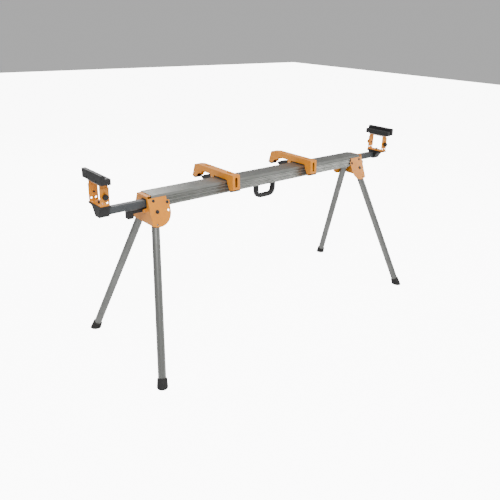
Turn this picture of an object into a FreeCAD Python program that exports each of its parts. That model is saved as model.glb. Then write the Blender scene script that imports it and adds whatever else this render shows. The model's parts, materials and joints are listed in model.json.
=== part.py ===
import FreeCAD, Part
import os
import re
import Sketcher
from FreeCAD import Placement, Rotation, Vector

# Folding work stand that carries a mitre saw: an extruded beam on four splayed folding legs, a
# pull-out tube with a work support at each end, and two clamp-on brackets for the saw.
# Millimetres and degrees, +Z up. The origin is on the floor below the middle of the beam, +X runs
# along the beam to the right and +Y points to the back.
# The left end is the right end turned half round about Z, so every end piece is drawn once.

SIZES = [
    ("Beam", None),
    ("beam_length", 1480),
    ("deck_height", 818),
    ("beam_depth", 58),
    ("rail_half", 48),
    ("rail_depth", 12),
    ("groove_half", 43),
    ("groove_gap", 6),
    ("base_half", 55.5),
    ("side_lean", 21.5),
    ("rib_radius", 5.5),
    ("rib_pitch", 14),
    ("rib_drop", 23),
    ("rib_sink", 0.3),
    ("channel_size", 35.4),
    ("channel_place", 20.5),
    ("beam_wall", 3),
    ("deck_groove", 2.4),
    ("deck_groove_depth", 1.2),
    ("deck_groove_pitch", 16),
    ("beam_base", "=deck_height - beam_depth"),
    ("channel_mid", "=beam_base + beam_wall + channel_size / 2"),
    ("channel_top", "=beam_base + beam_wall + channel_size"),
    ("Fits", None),
    ("running_gap", 0.05),
    ("slide_gap", 0.4),
    ("clear_gap", 0.3),
    ("Legs", None),
    ("pivot_inset", 15),
    ("pivot_reach", "=beam_length / 2 - pivot_inset"),
    ("pivot_side", 50),
    ("pivot_drop", 83),
    ("pivot_height", "=deck_height - pivot_drop"),
    ("leg_splay", 12),
    ("leg_radius", 19),
    ("leg_wall", 2.5),
    ("leg_top", 9),
    ("leg_sole", 14),
    ("plug_depth", 26),
    ("foot_radius", 26.5),
    ("foot_top_radius", 24),
    ("foot_length", 42),
    ("foot_groove", 2),
    ("bolt_radius", 5),
    ("bolt_head_radius", 8.5),
    ("bolt_head", 6),
    ("nut_height", 8),
    ("button_radius", 4.5),
    ("button_ring", 60),
    ("button_rise", 1),
    ("button_length", 8),
    ("fold_left", 101),
    ("fold_right", 95.5),
    ("leg_length", "=pivot_height / (cos(leg_splay) * cos(side_lean))"),
    ("leg_bore", "=leg_radius - leg_wall"),
    ("Leg brackets", None),
    ("plate_thick", 3),
    ("plate_gap", 1.5),
    ("end_overhang", 22),
    ("end_face", "=beam_length / 2 + end_overhang"),
    ("plate_rise", 66),
    ("plate_radius", 72),
    ("plate_step_reach", 63),
    ("plate_step", 18),
    ("plate_shoulder_reach", 76),
    ("plate_shoulder", 45),
    ("end_plate_drop", 3),
    ("end_plate_top", "=deck_height - end_plate_drop"),
    ("guide_opening", 38),
    ("screw_radius", 4),
    ("screw_length", 9),
    ("front_screw_reach", 8),
    ("front_screw_rise", 52),
    ("back_screw_reach", 62),
    ("back_screw_rise", 36),
    ("plate_face", "=leg_radius + plate_gap"),
    ("plate_drop", "=sqrt(plate_radius^2 - (end_face - plate_thick - pivot_reach)^2)"),
    ("plate_lip", "=end_face - plate_thick - pivot_reach"),
    ("Lock levers", None),
    ("lock_standoff", 10),
    ("lock_reach", "=end_face + lock_standoff"),
    ("lock_drop", 70),
    ("lock_height", "=deck_height - lock_drop"),
    ("lock_arm", 84),
    ("lock_width", 26),
    ("lock_hub", 8),
    ("lock_paddle", 30),
    ("lock_paddle_drop", 27),
    ("lock_arm_thick", 11),
    ("pin_radius", 3),
    ("lock_ear_reach", 18),
    ("Extension tubes", None),
    ("tube_size", 34),
    ("tube_wall", 2.5),
    ("tube_corner", 5),
    ("tube_length", 1400),
    ("tube_show", 233),
    ("tube_end", "=end_face + tube_show"),
    ("glide_length", 12),
    ("glide_plug", 25),
    ("guide_lip", 2.5),
    ("guide_lip_width", 2),
    ("tube_start", "=tube_end - tube_length"),
    ("Work supports", None),
    ("support_inset", 23),
    ("support_reach", "=tube_end - support_inset"),
    ("support_width", 44),
    ("cap_width", 50),
    ("cap_half", 58),
    ("cap_flange", 6),
    ("cap_drop", 6),
    ("cap_top", "=deck_height - cap_drop"),
    ("cap_depth", 53),
    ("cap_base", "=cap_top - cap_depth"),
    ("cap_wall", 2),
    ("cap_stud_radius", 6.5),
    ("cap_stud_height", 9),
    ("yoke_half", 55),
    ("yoke_rise", 83),
    ("yoke_top", "=cap_top + yoke_rise"),
    ("slot_radius", 4.6),
    ("slot_travel", 15),
    ("knob_rise", 44),
    ("knob_height", "=cap_top + knob_rise"),
    ("knob_radius", 13),
    ("knob_length", 17),
    ("knob_scallop", 3.2),
    ("knob_screw_radius", 4),
    ("slider_width", 40),
    ("slider_lift", 21),
    ("slider_base", "=cap_top + slider_lift"),
    ("slider_rise", 77),
    ("slider_top", "=slider_base + slider_rise"),
    ("top_plate_thick", 3),
    ("top_plate_half", 60),
    ("rest_outer", 8),
    ("rest_inner", 19),
    ("rest_height", 28),
    ("rest_half", 86),
    ("rest_corner", 3),
    ("stop_inner", 9),
    ("stop_outer", 30),
    ("stop_half", 89),
    ("stop_lift", 6),
    ("stop_base", "=slider_top + stop_lift"),
    ("stop_rise", 42),
    ("stop_top", "=stop_base + stop_rise"),
    ("hinge_reach", 24),
    ("hinge_lift", 10),
    ("hinge_height", "=slider_top + hinge_lift"),
    ("hinge_pin_radius", 2.5),
    ("hinge_ear_radius", 5),
    ("hinge_ear_place", 45),
    ("hinge_ear_thick", 3),
    ("Carry handle", None),
    ("handle_half", 74),
    ("handle_depth", 30),
    ("handle_drop", 90),
    ("handle_grip", 24),
    ("handle_post", 26),
    ("handle_taper", 16),
    ("handle_shoulder", 30),
    ("handle_flange_half", 94),
    ("handle_flange", 9),
    ("handle_corner", 5),
    ("handle_bolt_reach", 84),
    ("handle_bolt_radius", 2),
    ("handle_bolt_length", 14),
    ("Saw brackets", None),
    ("bracket_reach", 279),
    ("bracket_width", 46),
    ("bracket_rise", 35),
    ("bracket_top", "=deck_height + bracket_rise"),
    ("bracket_front", 96),
    ("bracket_back", 195),
    ("bracket_tail", 252),
    ("bracket_tail_drop", 32),
    ("bracket_tail_height", "=deck_height - bracket_tail_drop"),
    ("bracket_nose_drop", 39),
    ("bracket_nose_height", "=deck_height - bracket_nose_drop"),
    ("bracket_belly_rise", 5),
    ("bracket_belly", "=deck_height + bracket_belly_rise"),
    ("saw_slot_length", 40),
    ("saw_slot_radius", 4.5),
    ("saw_slot_front", 40),
    ("saw_slot_spacing", 190),
    ("face_slot_width", 15),
    ("face_slot_length", 50),
    ("jaw_width", 38),
    ("jaw_lip", 3.4),
    ("jaw_wall", 5.6),
    ("jaw_gap", 0.4),
    ("clamp_pivot_side", 75),
    ("clamp_pivot_drop", 6),
    ("clamp_pivot_height", "=deck_height - clamp_pivot_drop"),
    ("clamp_hub", 9.5),
    ("clamp_width", 30),
    ("clamp_reach", 106),
    ("tip_thick", 7),
]

NO_TURN = "rotation(vector(0; 0; 1); 0)"
TURN_TO = {
    "x": "rotation(vector(0; 1; 0); 90)",
    "y": "rotation(vector(1; 0; 0); -90)",
    "z": NO_TURN,
}
PLANES = {"xy": "XY_Plane", "xz": "XZ_Plane", "yz": "YZ_Plane"}
HALF_TURN = Placement(Vector(0, 0, 0), Rotation(Vector(0, 0, 1), 180))
ENDS = (("right", False), ("left", True))
# Name, hand along X before the half turn, and whether the piece is turned half round
CORNERS = (
    ("right_rear", 1, False),
    ("left_front", 1, True),
    ("left_rear", -1, False),
    ("right_front", -1, True),
)

doc = FreeCAD.newDocument("saw_stand")
sheet = doc.addObject("Spreadsheet::Sheet", "Sizes")
NODES = []


def fill_sheet():
    """Write the driving sizes, one to a row, with the name as the cell's alias."""
    for row, (name, size) in enumerate(SIZES, start=1):
        sheet.set(f"A{row}", name)
        if size is not None:
            sheet.set(f"B{row}", str(size))
            sheet.setAlias(f"B{row}", name)
    doc.recompute()


ALIASES = {name for name, size in SIZES if size is not None}


def linked(text):
    """Return an expression whose size names point at the sheet."""
    return re.sub(r"[a-z_]+", lambda word: f"Sizes.{word[0]}" if word[0] in ALIASES else word[0], str(text))


def value(text):
    """Return the number that an expression of size names gives."""
    return float(sheet.evalExpression(str(text)))


def tie(item, **links):
    """Bind properties of a document object to expressions."""
    for name, text in links.items():
        item.setExpression(name, linked(text))


def place(item, at, turn=NO_TURN, frame=""):
    """Bind an object's placement to a point, a turn and, if given, a frame that they are in."""
    spot = f"placement(vector({at[0]}; {at[1]}; {at[2]}); {turn})"
    item.setExpression("Placement", linked(f"{frame} * {spot}" if frame else spot))


def block(size, centre, frame=""):
    """Make a box about its centre."""
    item = doc.addObject("Part::Box", "block")
    tie(item, Length=size[0], Width=size[1], Height=size[2])
    place(item, [f"({middle}) - ({side}) / 2" for middle, side in zip(centre, size)], frame=frame)
    return item


def rod(radius, length, start, along="z", frame=""):
    """Make a cylinder that runs from its start point in the positive direction of an axis."""
    item = doc.addObject("Part::Cylinder", "rod")
    tie(item, Radius=radius, Height=length)
    place(item, start, TURN_TO[along], frame)
    return item


def sketch_outline(body, points, plane):
    """Draw a closed outline in a body's own plane, each corner held by its two distances."""
    sketch = body.newObject("Sketcher::SketchObject", "outline")
    support = [part for part in body.Origin.OriginFeatures if part.Role == PLANES[plane]]
    sketch.AttachmentSupport = [(support[0], "")]
    sketch.MapMode = "FlatFace"
    spots = [Vector(value(across), value(up), 0) for across, up in points]
    count = len(spots)
    sketch.addGeometry([Part.LineSegment(spots[i], spots[(i + 1) % count]) for i in range(count)], False)
    sketch.addConstraint([Sketcher.Constraint("Coincident", i, 2, (i + 1) % count, 1) for i in range(count)])
    for i, (across, up) in enumerate(points):
        for kind, text, size in (("DistanceX", across, spots[i].x), ("DistanceY", up, spots[i].y)):
            index = sketch.addConstraint(Sketcher.Constraint(kind, -1, 1, i, 1, size))
            sketch.setExpression(f"Constraints[{index}]", linked(text))
    return sketch


def extrusion(points, depth, plane, centre=(0, 0, 0), corner="", frame="", edge=None):
    """Pad a closed outline evenly to both sides of its plane and round the edges that run through.

    In the xz plane the outline's up is +Z and its across is +X; in the yz plane across is +Y.
    With edge given, only the edges it accepts are rounded.
    """
    body = doc.addObject("PartDesign::Body", "extrusion")
    pad = body.newObject("PartDesign::Pad", "pad")
    pad.Profile = sketch_outline(body, points, plane)
    pad.Midplane = True
    tie(pad, Length=depth)
    doc.recompute()
    if corner:
        normal = {"xy": Vector(0, 0, 1), "xz": Vector(0, 1, 0), "yz": Vector(1, 0, 0)}[plane]
        accept = edge or (lambda line: abs(abs(line.tangentAt(line.FirstParameter).dot(normal)) - 1) < 1e-6)
        names = [f"Edge{i}" for i, line in enumerate(pad.Shape.Edges, start=1) if accept(line)]
        rounding = body.newObject("PartDesign::Fillet", "rounding")
        rounding.Base = (pad, names)
        tie(rounding, Radius=corner)
    place(body, centre, frame=frame)
    return body


def rectangle(width, height, middle=("0", "0")):
    """Return the corners of a rectangle about its middle."""
    return [(f"{middle[0]} + {i} * ({width}) / 2", f"{middle[1]} + {j} * ({height}) / 2")
            for i, j in ((-1, -1), (1, -1), (1, 1), (-1, 1))]


def merged(items, kind="Part::MultiFuse"):
    """Fuse several objects, or hold them side by side with kind Part::Compound."""
    if len(items) == 1 and kind == "Part::MultiFuse":
        return items[0]
    whole = doc.addObject(kind, "merged")
    if kind == "Part::MultiFuse":
        whole.Shapes = items
        whole.Refine = True
    else:
        whole.Links = items
    return whole


def trimmed(base, holes):
    """Cut one or more objects out of another."""
    rest = doc.addObject("Part::Cut", "trimmed")
    rest.Base = base
    rest.Tool = merged(holes)
    rest.Refine = True
    return rest


def node(label, solids, holes=(), turned=False, apart=False):
    """Finish one sub-part: join its solids, cut its holes, name it and put it at its end."""
    whole = merged(list(solids), "Part::Compound" if apart else "Part::MultiFuse")
    if holes:
        whole = trimmed(whole, list(holes))
    if whole in solids:
        whole = merged([whole], "Part::Compound")
    whole.Label = label
    whole.Placement = HALF_TURN if turned else Placement()
    NODES.append(whole)
    return whole


# Frames. A plate frame has its origin at a leg pivot, +Y outward along the plate's normal and +Z up
# in the plate. A leg frame is a plate frame turned by the splay, so the leg runs down its -Z.


def plate_frame(hand):
    """Return the frame of one rear side plate; hand is 1 towards +X and -1 towards -X."""
    return (f"placement(vector({hand} * pivot_reach; pivot_side; pivot_height);"
            " rotation(vector(1; 0; 0); side_lean))")


def leg_frame(hand):
    """Return the frame of one rear leg, its foot down and outward."""
    return (f"{plate_frame(hand)} * placement(vector(0; 0; 0);"
            f" rotation(vector(0; 1; 0); {-hand} * leg_splay))")


def screw_spots(hand):
    """Return where the two screws go through a side plate, across and up from the pivot."""
    return ((f"{hand} * front_screw_reach", "front_screw_rise"),
            (f"{-hand} * back_screw_reach", "back_screw_rise"))


def both_sides(make):
    """Make a rear piece for both hands, and again for the front by a half turn of the pair."""
    rear = [make(hand) for hand in (1, -1)]
    front = merged([make(hand) for hand in (1, -1)], "Part::Compound")
    front.Placement = HALF_TURN
    return rear + [front]


def side_at(height):
    """Return the half-width of the beam's leaning side at a height."""
    return f"(base_half - ({height} - beam_base) * tan(side_lean))"


def beam():
    """Make the extruded beam with its rails, ribs, tube channels, cavities and screw holes."""
    groove_base = "deck_height - rail_depth - groove_gap"
    half = [("rail_half", "deck_height"), ("rail_half", "deck_height - rail_depth"),
            ("groove_half", "deck_height - rail_depth"), ("groove_half", groove_base),
            (side_at(f"({groove_base})"), groove_base), ("base_half", "beam_base")]
    outline = half + [(f"-({across})", up) for across, up in reversed(half)]
    outer = extrusion(outline, "beam_length", "yz")
    ribs = []
    for row in range(3):
        height = f"(deck_height - rib_drop - {row} * rib_pitch)"
        for side in (1, -1):
            spot = ("-beam_length / 2", f"{side} * ({side_at(height)} - rib_sink)", height)
            ribs.append(rod("rib_radius", "beam_length", spot, "x"))
    hollows = []
    for side in (1, -1):
        channel = (0, f"{side} * channel_place", "channel_mid")
        hollows.append(block(("beam_length + 2", "channel_size", "channel_size"), channel))
        cavity = [(f"{side} * ({across})", up) for across, up in (
            ("channel_place + channel_size / 2 + beam_wall", "beam_base + beam_wall"),
            ("base_half - 2 * beam_wall", "beam_base + beam_wall"),
            ("channel_place + channel_size / 2 + beam_wall", "beam_base + 8 * beam_wall"))]
        hollows.append(extrusion(cavity, "beam_length + 2", "yz"))
    cavity_height = "(deck_height - channel_top - 2 * beam_wall)"
    cavity_width = "((2 * groove_half - 4 * beam_wall) / 3)"
    for place_across in (-1, 0, 1):
        spot = (0, f"{place_across} * ({cavity_width} + beam_wall)",
                f"channel_top + beam_wall + {cavity_height} / 2")
        hollows.append(block(("beam_length + 2", cavity_width, cavity_height), spot))
    for line in (-2, -1, 0, 1, 2):
        spot = (0, f"{line} * deck_groove_pitch", "deck_height")
        hollows.append(block(("beam_length + 2", "deck_groove", "2 * deck_groove_depth"), spot))
    for side in (1, -1):
        start = (f"{side} * handle_bolt_reach", 0, "beam_base - 1")
        hollows.append(rod("handle_bolt_radius + running_gap", "handle_bolt_length + 1", start))
    hollows += both_sides(lambda hand: merged([
        rod("screw_radius + running_gap", "screw_length + 1", (across, "plate_face - screw_length", up), "y",
            plate_frame(hand)) for across, up in screw_spots(hand)], "Part::Compound"))
    node("beam", [outer] + ribs, hollows)


def side_plate(hand, fold):
    """Make one leaning side plate with its pivot, screw and latch holes, without its end plate."""
    frame = plate_frame(hand)
    outline = [("plate_lip", "0"), ("plate_lip", "plate_rise"), ("-plate_step_reach", "plate_rise"),
               ("-plate_step_reach", "plate_rise - plate_step"), ("-plate_shoulder_reach", "plate_shoulder"),
               ("-plate_radius", "0")]
    outline = [(f"{hand} * ({across})", up) for across, up in outline]
    centre = (0, "plate_face + plate_thick / 2", 0)
    upper = extrusion(outline, "plate_thick", "xz", centre, frame=frame)
    disc = rod("plate_radius", "plate_thick", (0, "plate_face", 0), "y", frame)
    lower = doc.addObject("Part::Common", "lower")
    lower.Base = disc
    reach = "(plate_lip + plate_radius)"
    lower.Tool = block((reach, "3 * plate_thick", "plate_radius"),
                       (f"{hand} * (plate_lip - {reach} / 2)", "plate_face + plate_thick / 2",
                        "-plate_radius / 2"),
                       frame)
    holes = []
    for turn in ("leg_splay", f"leg_splay - {fold}"):
        spot = (f"{hand} * button_ring * sin({turn})", "plate_face - 1", f"-button_ring * cos({turn})")
        holes.append(rod("button_radius + 0.5", "plate_thick + 2", spot, "y", frame))
    holes.append(rod("bolt_radius + running_gap", "plate_thick + 2", (0, "plate_face - 1", 0), "y", frame))
    for across, up in screw_spots(hand):
        holes.append(rod("screw_radius + running_gap", "plate_thick + 2", (across, "plate_face - 1", up),
                         "y", frame))
    return trimmed(merged([upper, lower]), holes)


def leg_brackets():
    """Make the bent sheet bracket at each end, with its tube opening and lock lever ears."""
    outer_face = "(plate_face + plate_thick)"
    wide = "(pivot_side + ({face} - ({height} - pivot_height) * sin(side_lean)) / cos(side_lean))"
    base = "(pivot_height + plate_face * sin(side_lean) - plate_drop * cos(side_lean))"
    half = [(wide.format(face=outer_face, height="end_plate_top"), "end_plate_top"),
            (wide.format(face=outer_face, height=base), base)]
    outline = half + [(f"-{across}", up) for across, up in reversed(half)]
    for end, turned in ENDS:
        fold = f"fold_{end}"
        end_plate = extrusion(outline, "plate_thick", "yz", ("end_face - plate_thick / 2", 0, 0))
        flange_length = "(end_face - beam_length / 2)"
        flange = block((flange_length, f"2 * {half[0][0]} - 1", "plate_thick"),
                       (f"end_face - {flange_length} / 2", 0, "end_plate_top - plate_thick / 2"))
        rear = side_plate(1, fold)
        front = merged([side_plate(-1, fold)], "Part::Compound")
        front.Placement = HALF_TURN
        ears = [block(("lock_ear_reach", "plate_thick", "2 * lock_hub - 1"),
                      ("end_face + lock_ear_reach / 2",
                       f"channel_place + {side} * (lock_width / 2 + 1 + plate_thick / 2)", "lock_height"))
                for side in (1, -1)]
        opening = extrusion(rectangle("guide_opening", "guide_opening"), "4 * plate_thick", "yz",
                            ("end_face", "channel_place", "channel_mid"), "tube_corner")
        pin_hole = rod("pin_radius + running_gap", "2 * lock_width",
                       ("lock_reach", "channel_place - lock_width", "lock_height"), "y")
        node(f"{end}_leg_bracket", [end_plate, flange, rear, front] + ears, [opening, pin_hole], turned)


def fasteners():
    """Make the grouped bolts, nuts and pins that hold the beam's brackets, legs, handle and levers."""
    node("pivot_bolts", both_sides(lambda hand: merged([
        rod("bolt_head_radius", "bolt_head", (0, "plate_face + plate_thick", 0), "y", plate_frame(hand)),
        rod("bolt_radius", "2 * plate_face + plate_thick + nut_height + 1",
            (0, "-plate_face - nut_height - 1", 0), "y", plate_frame(hand))])), apart=True)
    node("pivot_nuts", both_sides(lambda hand: trimmed(
        rod("bolt_head_radius", "nut_height", (0, "-plate_face - nut_height", 0), "y", plate_frame(hand)),
        [rod("bolt_radius", "nut_height", (0, "-plate_face - nut_height", 0), "y", plate_frame(hand))])),
        apart=True)
    node("bracket_screws", both_sides(lambda hand: merged([merged([
        rod("1.9 * screw_radius", "screw_radius", (across, "plate_face + plate_thick", up), "y",
            plate_frame(hand)),
        rod("screw_radius", "screw_length + plate_thick + 1", (across, "plate_face - screw_length", up), "y",
            plate_frame(hand))]) for across, up in screw_spots(hand)], "Part::Compound")), apart=True)
    under = "(beam_base - handle_flange)"
    node("handle_bolts", [merged([
        rod("2 * handle_bolt_radius", "handle_bolt_radius", (f"{side} * handle_bolt_reach", 0,
            f"{under} - handle_bolt_radius")),
        rod("handle_bolt_radius", "handle_flange + handle_bolt_length",
            (f"{side} * handle_bolt_reach", 0, under))]) for side in (1, -1)], apart=True)
    pin_length = "(lock_width + 2 + 2 * plate_thick + 3)"
    pins = []
    for _, turned in ENDS:
        pin = merged([rod("pin_radius", pin_length, ("lock_reach", f"channel_place - {pin_length} / 2",
                                                     "lock_height"), "y")], "Part::Compound")
        pin.Placement = HALF_TURN if turned else Placement()
        pins.append(pin)
    node("lock_lever_pins", pins, apart=True)


def tube_guides():
    """Make the plastic collar that each extension tube slides through at the end of the beam."""
    collars = []
    bore = "(tube_size + 2 * slide_gap)"
    lip = "(guide_opening + 2 * guide_lip_width)"
    depth = "(end_face - beam_length / 2 - 1)"
    for _, turned in ENDS:
        sleeve = extrusion(rectangle("guide_opening - 0.4", "guide_opening - 0.4"), depth, "yz",
                           (f"end_face - {depth} / 2", "channel_place", "channel_mid"), "tube_corner")
        rim = extrusion(rectangle(lip, lip), "guide_lip", "yz",
                        ("end_face + guide_lip / 2", "channel_place", "channel_mid"), "tube_corner")
        hole = extrusion(rectangle(bore, bore), f"3 * {depth}", "yz",
                         ("end_face", "channel_place", "channel_mid"), "tube_corner - 1")
        collar = trimmed(merged([sleeve, rim]), [hole])
        collar.Placement = HALF_TURN if turned else Placement()
        collars.append(collar)
    node("tube_guides", collars, apart=True)


def carry_handle():
    """Make the carry handle with its finger opening and the flange it hangs from."""
    base = "(beam_base - handle_drop)"
    outline = [("handle_flange_half", "beam_base"), ("handle_flange_half", "beam_base - handle_flange"),
               ("handle_half", "beam_base - handle_flange"), ("handle_half", f"{base} + handle_shoulder"),
               ("handle_half - handle_taper", base)]
    outline += [(f"-({across})", up) for across, up in reversed(outline)]
    body = extrusion(outline, "handle_depth", "xz", corner="handle_corner",
                     edge=lambda line: len(line.Vertexes) == 2 and line.Length > value("handle_drop / 2")
                     and abs(line.Vertexes[0].Point.y - line.Vertexes[1].Point.y) < 1e-6
                     and line.BoundBox.ZMax < value(f"{base} + 2"))
    opening_height = "(handle_drop - handle_grip - handle_flange - 3)"
    opening = extrusion(rectangle("2 * (handle_half - handle_post)", opening_height), "2 * handle_depth",
                        "xz",
                        (0, 0, f"{base} + handle_grip + {opening_height} / 2"), "2 * handle_corner")
    bolts = [rod("handle_bolt_radius + running_gap", "handle_flange + 2",
                 (f"{side} * handle_bolt_reach", 0, "beam_base - handle_flange - 1")) for side in (1, -1)]
    node("carry_handle", [body], [opening] + bolts)


def legs():
    """Make the four legs: tube, plug at the top, rubber foot and the snap button."""
    for name, hand, turned in CORNERS:
        frame = leg_frame(hand)
        bore = ("bolt_radius + running_gap", "4 * leg_radius", (0, "-2 * leg_radius", 0), "y", frame)
        button_hole = rod("button_radius + running_gap", "leg_radius", (0, "leg_radius / 2", "-button_ring"),
                          "y", frame)
        node(f"{name}_leg_tube",
             [rod("leg_radius", "leg_length - leg_sole + leg_top", (0, 0, "leg_sole - leg_length"),
                  frame=frame)],
             [rod("leg_bore", "leg_length + 2 * leg_top", (0, 0, "-leg_length"), frame=frame), rod(*bore),
              button_hole], turned)
        dome = doc.addObject("Part::Common", "dome")
        dome.Base = rod("leg_radius", "leg_radius - leg_top", (0, 0, "leg_top"), frame=frame)
        ball = doc.addObject("Part::Sphere", "ball")
        tie(ball, Radius="leg_radius")
        place(ball, (0, 0, 0), frame=frame)
        dome.Tool = ball
        node(f"{name}_leg_plug",
             [dome, rod("leg_bore", "plug_depth + leg_top", (0, 0, "-plug_depth"), frame=frame)],
             [rod(*bore)], turned)
        cone = doc.addObject("Part::Cone", "cone")
        tie(cone, Radius1="foot_radius", Radius2="foot_top_radius", Height="foot_length + foot_radius")
        place(cone, (0, 0, "-leg_length - foot_radius"), frame=frame)
        ring = doc.addObject("Part::Torus", "ring")
        tie(ring, Radius1="foot_radius - 0.5", Radius2="foot_groove")
        place(ring, (0, 0, "foot_length / 2 - leg_length"), frame=frame)
        below = block(("8 * foot_radius", "8 * foot_radius", "4 * foot_radius"),
                      (f"{hand} * (pivot_reach + leg_length * sin(leg_splay))",
                       "pivot_side + leg_length * cos(leg_splay) * sin(side_lean)", "-2 * foot_radius"))
        socket = rod("leg_radius", "2 * foot_length", (0, 0, "leg_sole - leg_length"), frame=frame)
        node(f"{name}_foot", [cone], [ring, below, socket], turned)
        outer = "(leg_radius + button_rise)"
        node(f"{name}_snap_button",
             [rod("button_radius", "button_length", (0, f"{outer} - button_length", "-button_ring"), "y",
                  frame),
              rod("button_radius + 1.5", "2", (0, f"{outer} - button_length", "-button_ring"), "y", frame)],
             turned=turned)


def extensions():
    """Make each pull-out tube with its inner glide and its end cap, whose stud holds the yoke."""
    for end, turned in ENDS:
        middle = "(tube_end - tube_length / 2)"
        outer = extrusion(rectangle("tube_size", "tube_size"), "tube_length", "yz",
                          (middle, "channel_place", "channel_mid"), "tube_corner")
        bore = extrusion(rectangle("tube_size - 2 * tube_wall", "tube_size - 2 * tube_wall"),
                         "tube_length + 2",
                         "yz", (middle, "channel_place", "channel_mid"), "tube_corner - tube_wall")
        node(f"{end}_extension_tube", [outer], [bore], turned)
        head = extrusion(rectangle("channel_size - 2 * clear_gap", "channel_size - 2 * clear_gap"),
                         "glide_length", "yz",
                         ("tube_start - glide_length / 2", "channel_place", "channel_mid"),
                         "tube_corner")
        plug = extrusion(rectangle("tube_size - 2 * tube_wall - 1", "tube_size - 2 * tube_wall - 1"),
                         "glide_plug", "yz",
                         ("tube_start + glide_plug / 2", "channel_place", "channel_mid"),
                         "tube_corner - tube_wall")
        node(f"{end}_tube_glide", [head, plug], turned=turned)
        cap_side = "(channel_place + tube_size / 2 + cap_wall + 4)"
        low_side = "(channel_place + tube_size / 2 + cap_wall)"
        far_side = "(channel_place - tube_size / 2 - cap_wall)"
        outline = [("cap_half", "cap_top"), ("cap_half", "cap_top - cap_flange"),
                   (cap_side, "cap_top - 2 * cap_flange"), (low_side, "cap_base"), (far_side, "cap_base"),
                   (f"{far_side} - 28", "cap_top - 2 * cap_flange"), ("-cap_half", "cap_top - cap_flange"),
                   ("-cap_half", "cap_top")]
        inner = "(tube_end + 2 - cap_width)"
        cap = extrusion(outline, "cap_width", "yz", (f"{inner} + cap_width / 2", 0, 0))
        socket_depth = "(tube_end - " + inner + ")"
        socket = extrusion(rectangle("tube_size", "tube_size"), f"{socket_depth} + 10", "yz",
                           (f"tube_end - ({socket_depth} + 10) / 2", "channel_place", "channel_mid"),
                           "tube_corner")
        stud = rod("cap_stud_radius", "cap_stud_height + plate_thick + 1",
                   ("support_reach", 0, "cap_top - 1"))
        node(f"{end}_end_cap", [cap, stud], [socket], turned)


def work_supports():
    """Make the height-adjustable work support on each end cap, with its flip-up stop and knobs."""
    for end, turned in ENDS:
        yoke_side = "(yoke_top - cap_top)"
        yoke = extrusion(rectangle("2 * yoke_half", yoke_side, ("0", f"cap_top + {yoke_side} / 2")),
                         "support_width", "yz", ("support_reach", 0, 0))
        hollow = block(("support_width + 2", "2 * (yoke_half - plate_thick)", yoke_side),
                       ("support_reach", 0, f"cap_top + plate_thick + {yoke_side} / 2"))
        slot = extrusion(rectangle("2 * slot_radius", "2 * (slot_travel + slot_radius)"),
                         "2 * yoke_half + 2", "xz",
                         ("support_reach", 0, "knob_height"), "slot_radius - 0.01")
        marks = [rod("slot_radius", "2 * yoke_half + 2",
                     (f"support_reach + {side} * support_width / 4", "-yoke_half - 1",
                      "cap_top + 2.5 * cap_flange"), "y")
                 for side in (1, -1)]
        stud_hole = rod("cap_stud_radius + running_gap", "plate_thick + 2",
                        ("support_reach", 0, "cap_top - 1"))
        node(f"{end}_support_yoke", [yoke], [hollow, slot, stud_hole] + marks, turned)
        slider_half = "(yoke_half - plate_thick - clear_gap)"
        slider_side = "(slider_top - slider_base)"
        slider = extrusion(rectangle(f"2 * {slider_half}", slider_side,
                                     ("0", f"slider_base + {slider_side} / 2")),
                           "slider_width", "yz", ("support_reach", 0, 0))
        under = block(("slider_width + 2", f"2 * ({slider_half} - plate_thick)", slider_side),
                      ("support_reach", 0, f"slider_top - plate_thick - {slider_side} / 2"))
        bolt_hole = rod("knob_screw_radius + running_gap", "2 * yoke_half",
                        ("support_reach", "-yoke_half", "knob_height"), "y")
        node(f"{end}_height_slider", [slider], [under, bolt_hole], turned)
        plate_width = "(slider_width / 2 + rest_inner)"
        plate = block((plate_width, "2 * top_plate_half", "top_plate_thick"),
                      (f"support_reach + slider_width / 2 - {plate_width} / 2", 0,
                       "slider_top + top_plate_thick / 2"))
        hinge = ("support_reach + hinge_reach", "hinge_height")
        ears = []
        for side in (1, -1):
            start = (hinge[0], f"{side} * hinge_ear_place - hinge_ear_thick / 2", hinge[1])
            ears.append(rod("hinge_ear_radius", "hinge_ear_thick", start, "y"))
            ears.append(block(("hinge_ear_radius + 8", "hinge_ear_thick", "hinge_height - slider_top"),
                              ("support_reach + hinge_reach - (hinge_ear_radius + 8) / 2",
                               f"{side} * hinge_ear_place",
                               "(hinge_height + slider_top) / 2")))
        pin = rod("hinge_pin_radius", "2 * hinge_ear_place + 20",
                  (hinge[0], "-hinge_ear_place - 10", hinge[1]), "y")
        node(f"{end}_top_plate", [plate, pin] + ears, turned=turned)
        rest_width = "(rest_outer + rest_inner)"
        rest = extrusion(rectangle(rest_width, "rest_height"), "2 * rest_half", "xz",
                         (f"support_reach + rest_outer - {rest_width} / 2", 0,
                          "slider_top + top_plate_thick + rest_height / 2"), "rest_corner")
        node(f"{end}_rest_bar", [rest], turned=turned)
        stop_width = "(stop_outer - stop_inner)"
        stop_height = "(stop_top - stop_base)"
        stop = extrusion(rectangle(stop_width, stop_height), "2 * stop_half", "xz",
                         (f"support_reach + stop_inner + {stop_width} / 2", 0,
                          f"stop_base + {stop_height} / 2"),
                         "rest_corner")
        notches = [block((f"2 * {stop_width}", "hinge_ear_thick + 2", "4 * hinge_ear_radius"),
                         (hinge[0], f"{side} * hinge_ear_place", hinge[1])) for side in (1, -1)]
        pin_bore = rod("hinge_pin_radius + running_gap", "2 * hinge_ear_place + 22",
                       (hinge[0], "-hinge_ear_place - 11", hinge[1]), "y")
        node(f"{end}_flip_stop", [stop], notches + [pin_bore], turned)
        for side, near in (("rear", 1), ("front", -1)):
            knob(f"{end}_{side}_knob", -near if turned else near, turned)


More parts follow.
